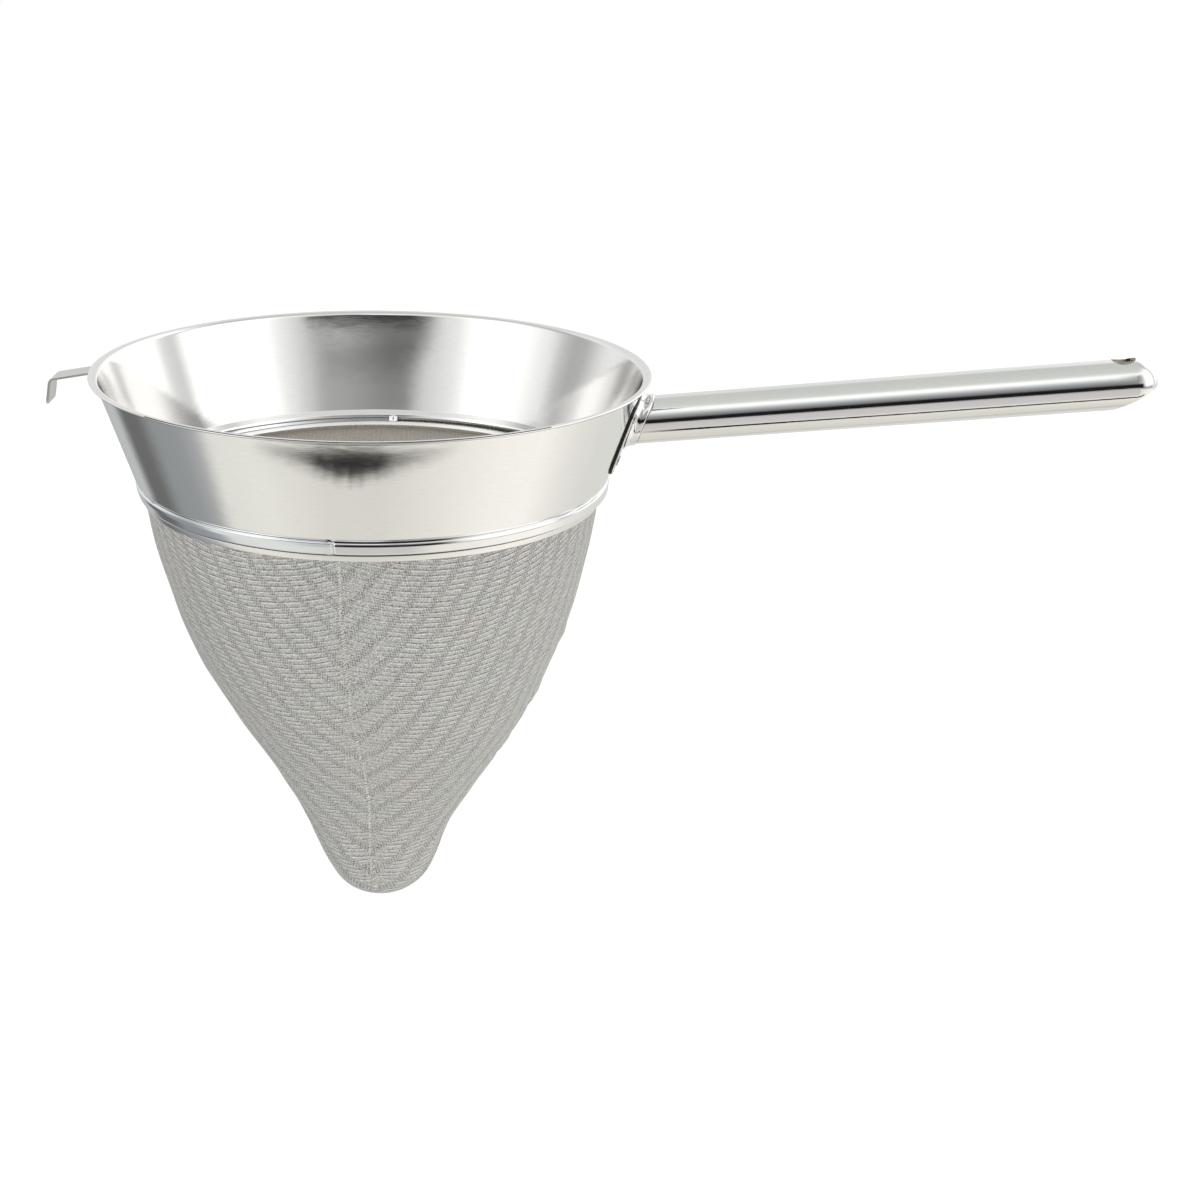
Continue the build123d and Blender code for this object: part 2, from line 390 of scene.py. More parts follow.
def steel(name, colour, roughness, grain, lines, spots, waves=0.0, ripple=0.0, brush=0.0, warm=0.0, tooth=1):
    """Bare steel. The grain runs round the axis, along the handle, or nowhere.

    lines darkens the grain, and tooth is its height. spots are dull and warm are brown blotches.
    waves and ripple are long and short dents in millimetres. brush stretches the gleam round the axis.
    """
    material, g = new_material(name)
    place = g.node("ShaderNodeTexCoord").outputs["Object"]
    x, y, z = g.split(place)
    if grain == "round":
        fine = g.join(g.times(g.math("ARCTAN2", y, x), 0.010), z, 0.0)
        fine_scale = 2600.0
    elif grain == "along":
        fine = g.join(g.times(x, 0.02), y, z)
        fine_scale = 1500.0
    else:
        fine = place
        fine_scale = 900.0
    scratch = g.noise(fine, fine_scale, 3.0, 0.6)
    cloud = g.noise(place, 28.0, 2.0, 0.5)
    blotch = g.noise(place, 120.0, 3.0, 0.6)
    tint = g.mix(cloud, scaled(colour, 0.97), scaled(colour, 1.02))
    tint = g.mix(g.times(g.rise(scratch, 0.3, 0.75), lines), tint, scaled(colour, 0.6))
    if warm:
        tint = g.mix(g.times(g.rise(blotch, 0.5, 0.8), warm), tint, STAIN)
    rough = g.add(roughness - 0.02, g.times(g.rise(scratch, 0.25, 0.8), 0.05))
    rough = g.add(rough, g.times(g.rise(blotch, 0.45, 0.8), spots))
    height = g.times(scratch, GRAIN_HEIGHT * tooth)
    if ripple:
        short = g.noise(g.join(x, y, g.times(z, 2.2)), 115.0, 1.0, 0.4)
        height = g.add(height, g.times(short, ripple * MM))
    if waves:
        wide = g.noise(g.join(x, y, g.times(z, 0.6)), 30.0, 1.0, 0.4)
        height = g.add(height, g.times(wide, waves * MM))
    shader = g.surface(tint, 1.0, rough, height)
    if brush:
        shader.inputs["Anisotropic"].default_value = brush
        tangent = g.node("ShaderNodeTangent", direction_type="RADIAL", axis="Z")
        g.put(shader.inputs["Tangent"], tangent.outputs[0])
    return material


def woven_wire(name, level, inside=False):
    """Fine woven wire, drawn in flat millimetres on the cloth: rows of dashes crossed by slanting stripes."""
    material, g = new_material(name)
    place = g.node("ShaderNodeTexCoord").outputs["Object"]
    x, y, z = g.split(place)
    u, v, _ = g.split(g.node("ShaderNodeUVMap", uv_map="flat").outputs[0])

    def phase(way, spacing):
        return g.math("FRACT", g.times(way, 1 / spacing))

    wobble = g.less(g.noise(g.join(g.times(u, 0.35), v, 0.0), 0.22, 1.0, 0.5), 0.5)
    slant = math.radians(57.0)
    across = g.less(g.times(u, math.sin(slant)), g.times(v, math.cos(slant)))
    stripe = g.window(phase(g.add(across, g.times(wobble, 3.0)), 8.8), 0.5, 0.17, 0.14)
    row = phase(g.add(v, g.times(wobble, 1.4)), 2.15)
    bright = g.window(row, 0.36, 0.11, 0.14)
    dark = g.window(row, 0.62, 0.10, 0.12)
    # inside the stripes the rows turn into a fine slanting hatch, with knots across it
    hatch_way = g.add(g.times(u, 0.94), g.times(v, 0.34))
    hatch = g.less(g.window(phase(hatch_way, 0.95), 0.5, 0.22, 0.2), 0.5)
    fine = g.less(g.noise(place, 1900.0, 1.0, 0.6), 0.5)
    open_part = g.less(1.0, stripe)
    if inside:
        # the grain is weak in the shade of the cuff
        value = g.times(fine, g.rise(z, -0.049, -0.056, 0.5, 2.6))
        value = g.add(value, g.times(g.times(g.less(bright, dark), open_part), 0.10))
        warm, cool = (1.05, 0.98, 0.90), (1.02, 0.99, 0.92)
    else:
        # the rows are fainter beside the seam
        beside = g.window(g.math("ARCTAN2", y, x), *(math.radians(a) for a in (SEAM + 5.0, 8.0, 14.0)))
        rows = g.times(open_part, g.less(1.0, g.times(beside, 0.55)))
        knots = g.less(g.window(phase(v, 1.07), 0.5, 0.22, 0.2), 0.5)
        grains = g.less(g.noise(g.join(g.times(u, 0.5), g.times(v, 1.6), 0.0), 0.9, 2.0, 0.6), 0.5)
        value = g.times(g.less(g.times(bright, 0.38), g.times(dark, 0.44)), rows)
        weave = g.add(g.times(hatch, 0.30), g.times(knots, 0.26))
        value = g.add(value, g.times(weave, g.add(g.times(stripe, 0.9), 0.12)))
        value = g.less(value, g.times(stripe, 0.13))
        value = g.add(value, g.times(fine, g.add(1.8, g.times(beside, 0.4))))
        value = g.add(value, g.times(grains, 0.30))
        warm, cool = (1.02, 0.99, 0.945), (0.995, 1.0, 0.95)
    value = g.add(value, 1.0)
    tone = g.noise(g.join(g.times(u, 0.25), v, 0.0), 0.10, 2.0, 0.5)
    colour = g.mix(g.rise(tone, 0.35, 0.65), scaled(warm, level), scaled(cool, level))
    colour = g.mix(1.0, colour, g.join(value, value, value), "MULTIPLY")
    height = g.add(g.times(bright, open_part), g.add(g.times(hatch, 0.5), g.times(fine, 0.4)))
    g.surface(colour, 0.35, 0.55, g.times(height, WEAVE_HEIGHT))
    return material


COLLAR_STEEL = steel(
    "collar_steel", (0.86, 0.855, 0.84), 0.10, "round", lines=0.10, spots=0.03,
    waves=0.16, ripple=0.022, brush=0.35,
)
BAND_STEEL = steel("band_steel", (0.88, 0.875, 0.865), 0.09, "round", lines=0.06, spots=0.03, tooth=0.4)
# A bluer, darker copy of the band steel for the left half of the band: a painted reflection of the cooler
# surround that half shows
REFLECTION_TINTED_STEEL = steel("reflection_tinted_steel", (0.79, 0.82, 0.84), 0.10, "round", lines=0.06, spots=0.03, tooth=0.4)
HOOP_STEEL = steel("hoop_steel", (0.87, 0.86, 0.835), 0.20, "round", lines=0.04, spots=0.0, tooth=0.15)
BORE_STEEL = steel("bore_steel", (0.80, 0.75, 0.68), 0.50, "none", lines=0.15, spots=0.08)
TUBE_STEEL = steel("tube_steel", (0.89, 0.885, 0.875), 0.07, "along", lines=0.05, spots=0.02)
SATIN_STEEL = steel("satin_steel", (0.80, 0.795, 0.775), 0.24, "round", lines=0.12, spots=0.06)
HOOK_STEEL = steel("hook_steel", (0.66, 0.655, 0.63), 0.30, "none", lines=0.15, spots=0.08)
WELD_STEEL = steel("weld_steel", (0.62, 0.61, 0.58), 0.30, "none", lines=0.15, spots=0.10, warm=0.35)
CLOTH = woven_wire("woven_wire", 0.50)
CLOTH_INSIDE = woven_wire("woven_wire_inside", 0.62, True)
STITCH = steel("stitch_wire", (0.93, 0.93, 0.90), 0.45, "none", lines=0.10, spots=0.05)
# Near-black steel: painted shade in gaps, under edges and in holes, and a painted dark reflection on the
# lip's upper edge
SHADE_AND_REFLECTION_PAINT = steel("shade_and_reflection_paint", (0.05, 0.05, 0.05), 0.4, "none", lines=0.10, spots=0.05)


def paint_faces(mesh, material, test):
    """Gives a material to the faces that pass a test."""
    slot = len(mesh.materials)
    mesh.materials.append(material)
    for face in mesh.polygons:
        if test(face):
            face.material_index = slot


def paint(piece, material, test):
    """Gives a material to the faces whose middle, as radius, height and angle, passes a test."""
    def by_middle(face):
        x, y, z = face.center / MM
        return test(math.hypot(x, y), z, math.degrees(math.atan2(y, x)))

    paint_faces(piece.data, material, by_middle)


# Collar
LIP_EDGE = 103.4


def collar():
    """The spun wall, from the lip's edge down to the neck that the clamp band closes over."""
    line = bent_line(
        [(LIP_EDGE, -0.42), (101.12, -0.45), (88.05, -38.4), (86.5, -40.15), (86.17, -40.91)],
        [2.4, 0.8, 0.6],
        10,
    )
    loop = sheet_loop(held(line), COLLAR_GAUGE, 6)
    piece = lathe("collar_shell", loop, 540, ["collar"], COLLAR_STEEL)

    def painted_lip_shade_and_reflection(r, z, a):
        """Painted dark lines on the lip's trimmed edge: shade below it, and in front a dark reflection above
        it.
        """
        in_front = abs(a + 90) < 42
        return r > LIP_EDGE and (z < -0.62 or (z > -0.22 and in_front))

    # the lip's edge is painted dark: painted shade below, and a painted dark reflection above in front
    paint(piece, SHADE_AND_REFLECTION_PAINT, painted_lip_shade_and_reflection)


# Clamp band
FULL_BEAD = [
    (87.32, -39.78), (87.44, -39.85), (88.22, -40.3), (88.42, -41.25), (88.12, -43.75), (86.9, -44.45),
    (85.25, -44.75),
]
FLAT_BEAD = [
    (87.32, -39.78), (87.44, -39.88), (88.02, -40.35), (87.85, -41.6), (87.0, -44.2), (86.2, -44.75),
    (85.25, -44.95),
]
BEAD_END = [
    (87.2, -39.85), (87.27, -40.09), (87.42, -40.6), (87.32, -41.6), (86.75, -43.9), (86.1, -44.6),
    (85.25, -44.9),
]
BEAD_BENDS = [0.0, 0.45, 1.6, 0.55, 0.45, 0.3]
BAND_FOOT = (85.25, -45.86)
JOINT_HALF = 0.16


def band_loop(bead, share):
    """The band's section. The bead is whole at a share of 1, and drawn in at 0."""
    points = [(e[0] + (b[0] - e[0]) * share, e[1] + (b[1] - e[1]) * share) for b, e in zip(bead, BEAD_END)]
    return sheet_loop(bent_line(points + [BAND_FOOT], BEAD_BENDS, 6), BAND_GAUGE)


def half_band(name, start, end, node, bead, first_taper, last_taper, foot, material):
    """Half of the clamp band, whose bead ends like a quarter of an ellipse. Below foot, shade under the bead
    is painted.
    """
    gap = degrees_round(JOINT_HALF, BEAD_RADIUS)
    first = start + gap
    last = end - gap

    def section(angle):
        share = 1.0
        for away, taper in ((angle - first, first_taper), (last - angle, last_taper)):
            t = min(1.0, max(0.0, length_round(away, BEAD_RADIUS) / taper))
            share = min(share, math.sqrt(1 - (1 - t) ** 2))
        return band_loop(bead, share)

    def painted_shade_lines(r, z, a):
        """Painted shade: a dark line along the sheet's upper edge, and one under the bead, below the height
        foot.
        """
        return (86.9 < r < 87.72 and z > -39.84) or (r > 85.5 and z < foot)

    verts, faces = lathe_mesh(section, 900, first, last)
    piece = outward(new_piece(name, verts, faces, [node], material))
    # painted shade along the band's upper edge and under its bead
    paint(piece, SHADE_AND_REFLECTION_PAINT, painted_shade_lines)


# Hoops
def hoops():
    """The hoop inside the cloth's cuff, and the one below the band that the cloth is bound with."""
    inner = bent_loop(
        [(83.85, -42.21), (84.15, -42.30), (84.15, -44.81), (83.15, -44.81), (82.95, -43.45)],
        [0.15, 0.1, 0.2, 0.3, 0.25],
        5,
    )
    lathe("cuff_hoop_inner", inner, 480, ["inner_hoop"], SATIN_STEEL)
    outer = bent_loop(
        [(84.95, -45.93), (85.62, -45.93), (85.62, -45.05), (86.30, -45.05), (85.62, -47.35), (84.95, -47.5)],
        [0.02, 0.02, 0.12, 0.3, 0.3, 0.1],
        6,
    )
    lathe("cuff_hoop_outer", outer, 480, ["outer_hoop"], HOOP_STEEL)


# Welds of the band's joints

# The saddle's section, from the collar's neck down to the inner hoop's top. Each place has a third
# value, the share by which the pinhole sinks it.
SADDLE = [
    (86.55, -40.7, 0), (85.86, -40.1, 0), (85.52, -40.35, 0.4), (85.22, -40.85, 1.0), (84.98, -41.2, 1.0),
    (84.72, -41.6, 0.4), (84.45, -41.95, 0), (84.3, -42.2, 0), (85.2, -42.2, 0), (86.55, -42.16, 0),
]
SADDLE_MIDDLE = (85.5, -41.6)
FILLER_HALF = 0.15


def joint_filler(centre):
    """Fills the notch between the ends of the two beads."""
    def section(angle):
        off = length_round(abs(angle - centre), BEAD_RADIUS)
        return band_loop(FLAT_BEAD, 0.10 * ease(FILLER_HALF, 0.0, off))

    half = degrees_round(FILLER_HALF, BEAD_RADIUS)
    return lathe_mesh(section, 6, centre - half, centre + half)


def joint_bridge(centre):
    """A saddle over the groove inside, that thins towards its ends, with a pinhole's dimple in its middle."""
    middle_r, middle_z = SADDLE_MIDDLE

    def section(angle):
        off = length_round(angle - centre, NECK_RADIUS)
        full = max(0.04, math.sqrt(max(0.0, 1 - (off / 2.1) ** 2)))
        dimple = 0.55 * math.exp(-(off / 0.33) ** 2)
        out = []
        for r, z, hole in SADDLE:
            r = middle_r + (r - middle_r) * (0.35 + 0.65 * full)
            z = middle_z + (z - middle_z) * (0.45 + 0.55 * full)
            out.append(Vector((r + 0.8 * dimple * hole, z - 0.6 * dimple * hole)))
        return out

    reach = degrees_round(2.05, NECK_RADIUS)
    return lathe_mesh(section, 40, centre - reach, centre + reach)


def joint_welds():
    verts, faces = [], []
    for centre in (FRONT_JOINT, BACK_JOINT):
        for part_verts, part_faces in (joint_filler(centre), joint_bridge(centre)):
            shift = len(verts)
            verts += part_verts
            faces += [tuple(i + shift for i in face) for face in part_faces]
    piece = new_piece("joint_fillers", verts, faces, ["band_joint_welds"], BAND_STEEL, 50)
    outward(piece)

    # Painted shade: dark spots at the bridge's ends, where the groove runs under it, and in the middle of the
    # pinhole's dimple
    def painted_hole_shade(r, z, a):
        off = length_round(min(abs(a - FRONT_JOINT), abs(a - BACK_JOINT)), NECK_RADIUS)
        in_hole = off < 0.16 and -41.5 < z < -40.6 and r < 85.6
        return r < 86.4 and z > -42.1 and (off > 1.75 or in_hole)

    paint(piece, SHADE_AND_REFLECTION_PAINT, painted_hole_shade)


# Cone of woven wire

# The outline as radius and height, then how far the cone leans to the handle at depths below the mouth
CLOTH_RADII = [
    (84.90, -47.50), (82.90, -60.0), (79.2, -75.0), (75.1, -90.0), (70.0, -105.0),
    (63.6, -120.0), (55.5, -135.0), (45.8, -150.0), (36.4, -165.0), (28.2, -180.0), (22.6, -195.0),
    (17.6, -205.0), (11.5, -210.4), (5.2, -212.4), (0.0, -212.8),
]
CLOTH_SHIFT = [
    (47.0, 0.0), (90.0, 0.3), (103.0, 0.7), (112.0, 0.95), (120.0, 1.8), (128.0, 2.6), (136.0, 2.7),
    (145.0, 2.6), (153.0, 2.7), (161.0, 2.1), (169.0, 2.0), (177.0, 1.4), (186.0, 1.0), (194.0, 1.0),
    (202.0, 1.4), (213.0, 1.3),
]
# Creases as height, angle and depth
CREASES = [(-101.0, -6.0, 0.9), (-124.5, -4.0, 1.0), (-146.0, -8.0, 1.1)]
CUFF_RADIUS, CUFF_TOP, CUFF_LENGTH, CUFF_STEPS = 84.90, -42.21, 5.29, 4
CLOTH_CURVE = smooth_curve(CLOTH_RADII, 10)


def cloth_shift(z):
    return between(CLOTH_SHIFT, -z)


def cloth_side(way):
    """The way out of the cloth, square to a way along it."""
    side = Vector((-way.y, way.x))
    return -side if side.x < 0 else side


def cloth_swell(angle, z):
    """How far the hand-formed cloth stands off its smooth line."""
    fade = ease(-50.0, -66.0, z) * ease(-212.0, -192.0, z)
    a = math.radians(angle)
    swell = 0.34 * math.sin(3 * a + 0.055 * z) + 0.26 * math.sin(5 * a - 0.08 * z + 1.3)
    swell += 0.20 * math.sin(8 * a + 0.11 * z + 0.7) + 0.12 * math.sin(13 * a - 0.17 * z + 2.1)
    # the cloth is pulled flat a little way each side of the seam
    swell -= 0.35 * math.exp(-(turn_from(angle, SEAM) / 6.0) ** 2)
    for height, side, depth in CREASES:
        turn = turn_from(angle, side)
        span = math.exp(-(turn / 22.0) ** 2)
        d = z - height - turn * 0.12
        fold = math.exp(-((d - 1.6) / 2.2) ** 2) - math.exp(-((d + 1.8) / 2.4) ** 2)
        swell += depth * span * fold * 0.6
    return swell * fade


def cone():
    """A straight cuff, then a smooth line down to the rounded tip, with an outer and an inner face."""
    cuff = [Vector((CUFF_RADIUS, CUFF_TOP - CUFF_LENGTH * i / CUFF_STEPS)) for i in range(CUFF_STEPS)]
    outline = cuff + CLOTH_CURVE
    lengths = [0.0]
    for a, b in zip(outline[::-1], outline[::-1][1:]):
        lengths.append(lengths[-1] + (b - a).length)
    lengths = lengths[::-1]
    steps = 360
    rings = len(outline) - 1
    tip = outline[-1]
    verts, faces, flat = [], [], []

    def add_side(inset):
        base = len(verts)
        for j in range(rings):
            p = outline[j]
            side = cloth_side((outline[j + 1] - outline[max(0, j - 1)]).normalized())
            for i in range(steps):
                angle = 360.0 * i / steps
                a = math.radians(angle)
                off = side * (cloth_swell(angle, p.y) - inset)
                r = max(0.05, p.x + off.x)
                verts.append((r * math.cos(a) + cloth_shift(p.y), r * math.sin(a), p.y + off.y))
                # the cloth lies flat as a fan that opens each way from the seam
                fan = math.radians(0.55 * (abs(turn_from(angle, SEAM)) - 27.0))
                flat.append((lengths[j] * math.sin(fan), lengths[j] * math.cos(fan)))
        verts.append((cloth_shift(tip.y), 0.0, tip.y + inset))
        flat.append((0.0, 0.0))
        faces.extend(skin(rings, steps, base))
        last = base + (rings - 1) * steps
        for i in range(steps):
            faces.append((last + i, last + (i + 1) % steps, base + rings * steps))
        return base

    outer = add_side(0.0)
    inner = add_side(CLOTH_GAUGE)
    for i in range(steps):
        k = (i + 1) % steps
        faces.append((outer + i, inner + i, inner + k, outer + k))
    piece = new_piece("woven_cone", verts, faces, ["mesh_cone"], CLOTH, 70)
    paint_faces(piece.data, CLOTH_INSIDE, lambda face: min(face.vertices[0], face.vertices[2]) >= inner)
    layer = piece.data.uv_layers.new(name="flat")
    for loop in piece.data.loops:
        layer.data[loop.index].uv = flat[loop.vertex_index]
    outward(piece)


def cloth_point(angle, z, stand_off):
    """A place on the cloth's outer face."""
    for p, q in zip(CLOTH_CURVE, CLOTH_CURVE[1:]):
        if q.y <= z <= p.y:
            break
    r = p.x + (q.x - p.x) * ((p.y - z) / max(1e-6, p.y - q.y))
    side = cloth_side((q - p).normalized())
    a = math.radians(angle)
    off = stand_off + cloth_swell(angle, z)
    radius = r + side.x * off
    return Vector((radius * math.cos(a) + cloth_shift(z), radius * math.sin(a), z + side.y * off))


# Lacing of the cone's seam
ASKEW = Vector((0.3, -0.8, 0.52))


def wire(verts, faces, path, radius, sides=6):
    """Adds a round wire along a path of points."""
    base = len(verts)
    last = len(path) - 1
    for i, point in enumerate(path):
        way = (path[min(i + 1, last)] - path[max(i - 1, 0)]).normalized()
        across = way.cross(ASKEW).normalized()
        up = across.cross(way)
        size = radius * (0.55 if i in (0, last) else 1.0)
        for k in range(sides):
            a = 2 * math.pi * k / sides
            verts.append(tuple(point + across * (size * math.cos(a)) + up * (size * math.sin(a))))
    faces.extend(skin(len(path), sides, base))
    faces.append(ring_face(0, sides, base)[::-1])
    faces.append(ring_face(last, sides, base))


def seam():
    """Lapped edges laced with fine wire, a little uneven."""
    pick = random.Random(7)
    verts, faces = [], []
    top, start, foot = -47.7, -47.9, -206.0
    z = start
    while z > foot:
        wander = 0.35 * math.sin(z * 0.11) + 0.2 * math.sin(z * 0.31 + 1.0) + pick.uniform(-0.12, 0.12)
        radius = max(4.0, math.hypot(*cloth_point(SEAM, z, 0).xy))
        half = 0.70 + pick.uniform(-0.30, 0.30)
        lean = 0.9 + pick.uniform(-0.5, 0.5)
        path = []
        for t in (-1.0, -0.5, 0.0, 0.5, 1.0):
            angle = SEAM + degrees_round(wander + t * half, radius)
            path.append(cloth_point(angle, min(top, z + t * lean * 0.5), 0.30 - 0.30 * t * t))
        wire(verts, faces, path, 0.23 + pick.uniform(0.0, 0.09))
        z -= 0.80 + pick.uniform(-0.25, 0.35)
    new_piece("seam_lacing", verts, faces, ["seam_stitching"], STITCH, 60)


# Handle plate
def wall_radius(z, stand_off=0.0):
    """The radius of the collar's outer wall at a height, or of a face standing off it."""
    middle = WALL_RADIUS + (z - WALL_HEIGHT) * math.tan(TAPER)
    return middle + (COLLAR_GAUGE / 2 + stand_off) / math.cos(TAPER)


def plate_ring(inset, lift):
    """A ring of the plate, drawn in from its outline and lifted off the wall."""
    width, height, corner, top = 34.0, 26.0, 4.5, -8.5
    corner_steps, edge_steps = 13, 16
    w = width / 2 - inset
    h = height / 2 - inset
    r = min(max(0.6, corner - inset), h - 0.01)
    points = []
    for cx, cy, begin in ((w - r, h - r, 0), (r - w, h - r, 90), (r - w, r - h, 180), (w - r, r - h, 270)):
        for i in range(corner_steps + 1):
            a = math.radians(begin + 90.0 * i / corner_steps)
            points.append((cx + r * math.cos(a), cy + r * math.sin(a)))
        # the upper and lower edges bend with the wall, so they have points between their corners
        if begin in (0, 180):
            edge = math.copysign(h, cy)
            points += [(cx * (1 - 2 * i / edge_steps), edge) for i in range(1, edge_steps)]
    out = []
    for across, along in points:
        z = top - height / 2 + along
        radius = wall_radius(z, lift)
        a = across / radius
        out.append((radius * math.cos(a), radius * math.sin(a), z))
    return out


def plate():
    """A patch of sheet that follows the wall, with rounded corners and eased edges."""
    insets = (12.9, 12.0, 9.0, 6.0, 3.0, 1.2)
    easing, seat = 0.35, 0.02
    layers = [plate_ring(inset, seat) for inset in insets]
    layers += [plate_ring(0.15, seat), plate_ring(0.0, 0.2), plate_ring(0.0, PLATE_GAUGE - easing)]
    painted_shade_layers = len(layers)
    for i in range(1, 5):
        a = math.radians(90 * i / 4)
        layers.append(plate_ring(easing - easing * math.cos(a), PLATE_GAUGE - easing + easing * math.sin(a)))
    layers += [plate_ring(inset, PLATE_GAUGE) for inset in insets[::-1]]
    verts = [v for layer in layers for v in layer]
    size = len(layers[0])
    faces = skin(len(layers), size)
    faces += [ring_face(len(layers) - 1, size), ring_face(0, size)[::-1]]
    piece = new_piece("wall_plate", verts, faces, ["handle_plate"], SATIN_STEEL)
    # the back and the side edge are painted dark: painted shade of the gap between the plate and the wall
    paint_faces(piece.data, SHADE_AND_REFLECTION_PAINT, lambda face: max(face.vertices) < painted_shade_layers * size)
    outward(piece)


# Handle
def handle_point(s, rho, phi):
    """A place about the handle's axis: along it, out from it, and round it from its upper side."""
    return HANDLE_ROOT + HANDLE_WAY * s + (HANDLE_UP * math.cos(phi) + HANDLE_SIDE * math.sin(phi)) * rho


def seat_on(stand_off, rho, phi):
    """How far along the handle a line beside its axis leaves a face standing off the wall."""
    near, far = -30.0, 40.0
    for _ in range(40):
        s = (near + far) / 2
        p = handle_point(s, rho, phi)
        if math.hypot(p.x, p.y) < wall_radius(p.z, stand_off):
            near = s
        else:
            far = s
    return far


def handle_radius(s):
    """The tube grows a little from the socket to the nose."""
    return 8.80 + 0.55 * ease(0.0, 200.0, s)


def turned_round(name, loop_at, steps, nodes, material, sharp):
    """A closed section of (along, out) turned about the handle's axis."""
    verts = []
    for i in range(steps):
        phi = 2 * math.pi * i / steps
        verts += [tuple(handle_point(p[0], p[1], phi)) for p in loop_at(phi)]
    faces = skin(steps, len(verts) // steps, closed=True, turned=True)
    return outward(new_piece(name, verts, faces, nodes, material, sharp))


def socket():
    """The sleeve: a flare welded to the plate, a straight neck and a rounded rim cut parallel to the wall."""
    neck, length = 9.3, 4.6

    def section(phi):
        base = seat_on(PLATE_FACE, 9.5, phi)
        rim = seat_on(PLATE_FACE, neck, phi) + length
        flare = [(0.0, 10.5), (0.35, 10.35), (0.8, 9.85), (1.5, 9.45), (2.6, neck)]
        rounded = [(rim - 0.5, neck), (rim - 0.15, 9.15), (rim, 8.85), (rim - 0.05, 8.3)]
        inside = [(rim - 0.4, HANDLE_BORE), (base + 0.2, HANDLE_BORE)]
        return [(base + along, out) for along, out in flare] + rounded + inside

    turned_round("handle_neck", section, 128, ["handle_socket"], TUBE_STEEL, 50)


def tube_section(phi):
    """Half of the tube's section: out along the outside to the nose, and back along the inside."""
    start = seat_on(PLATE_FACE, 8.8, phi) + 4.7
    easing, spans, axis = 0.25, 24, 0.02
    places = [start + (BODY_END - start) * i / spans for i in range(1, spans)]
    quarter = [math.radians(90.0 * i / 16) for i in range(17)]
    nose_out = handle_radius(HANDLE_LENGTH) - NOSE_RADIUS

    def nose(a, radius):
        return (BODY_END + radius * math.sin(a), nose_out + radius * math.cos(a))

    root = handle_radius(start)
    outside = [(start, HANDLE_BORE), (start, root - easing), (start + easing, root)]
    outside += [(s, handle_radius(s)) for s in places]
    outside += [nose(a, NOSE_RADIUS) for a in quarter] + [(HANDLE_LENGTH, axis)]
    inside = [(HANDLE_LENGTH - TUBE_GAUGE, axis)] + [nose(a, NOSE_RADIUS - TUBE_GAUGE) for a in quarter[::-1]]
    inside += [(s, handle_radius(s) - TUBE_GAUGE) for s in places[::-1]]
    return outside + inside


def bevel_cutter():
    """A block that takes away all below a plane that rises to the nose."""
    slope = math.radians(26.0)
    foot, drop, reach, depth, half = HANDLE_LENGTH - 17.8, -9.1, 90, -60.0, 30.0
    far = (foot + reach * math.cos(slope), drop + reach * math.sin(slope))
    corners = []
    for s, n in ((foot, drop), far, (foot + reach, depth), (foot - 2, depth)):
        for side in (-half, half):
            corners.append(HANDLE_ROOT + HANDLE_WAY * s + HANDLE_UP * n + HANDLE_SIDE * side)
    faces = [(0, 1, 3, 2), (2, 3, 5, 4), (4, 5, 7, 6), (6, 7, 1, 0), (0, 2, 4, 6), (1, 7, 5, 3)]
    return outward(new_object("cut_bevel", corners, faces))


def hole_cutter():
    """A peg for the hang hole through the upper wall, wider above, so that the hole's edge is eased."""
    centre = HANDLE_ROOT + HANDLE_WAY * (HANDLE_LENGTH - 12.2)
    rings = [(2.0, 4.3), (7.6, 4.3), (9.0, 4.42), (20.0, 4.7)]
    sides = 64
    verts = []
    for up, radius in rings:
        for i in range(sides):
            a = 2 * math.pi * i / sides
            out = (HANDLE_WAY * math.cos(a) + HANDLE_SIDE * math.sin(a)) * radius
            verts.append(centre + HANDLE_UP * up + out)
    faces = skin(len(rings), sides) + [ring_face(0, sides), ring_face(len(rings) - 1, sides)]
    return outward(new_object("cut_hole", verts, faces))


def tube():
    """A tube with a bull nose, cut away from below, with a hang hole through its top."""
    piece = turned_round("handle_grip", tube_section, 192, ["handle_tube"], TUBE_STEEL, 35)
    cutters = (bevel_cutter(), hole_cutter())
    for cutter in cutters:
        cut = piece.modifiers.new("cut", "BOOLEAN")
        cut.operation = "DIFFERENCE"
        cut.solver = "EXACT"
        cut.object = cutter
    made = piece.evaluated_get(bpy.context.evaluated_depsgraph_get())
    mesh = bpy.data.meshes.new_from_object(made)
    piece.modifiers.clear()
    piece.data = mesh
    for cutter in cutters:
        bpy.data.objects.remove(cutter)

    def unpolished(face):
        """The bore and the hole's wall."""
        place = face.center / MM - HANDLE_ROOT
        along = place.dot(HANDLE_WAY)
        out = (place - HANDLE_WAY * along).length
        off = (place - HANDLE_WAY * min(along, BODY_END)).length
        outer = handle_radius(along) if along < BODY_END else NOSE_RADIUS
        return off < outer - 0.3 and (out < 8.8 or off < 8.0)

    paint_faces(mesh, BORE_STEEL, unpolished)
    for face in mesh.polygons:
        face.use_smooth = True
    mesh.set_sharp_from_angle(angle=math.radians(35))


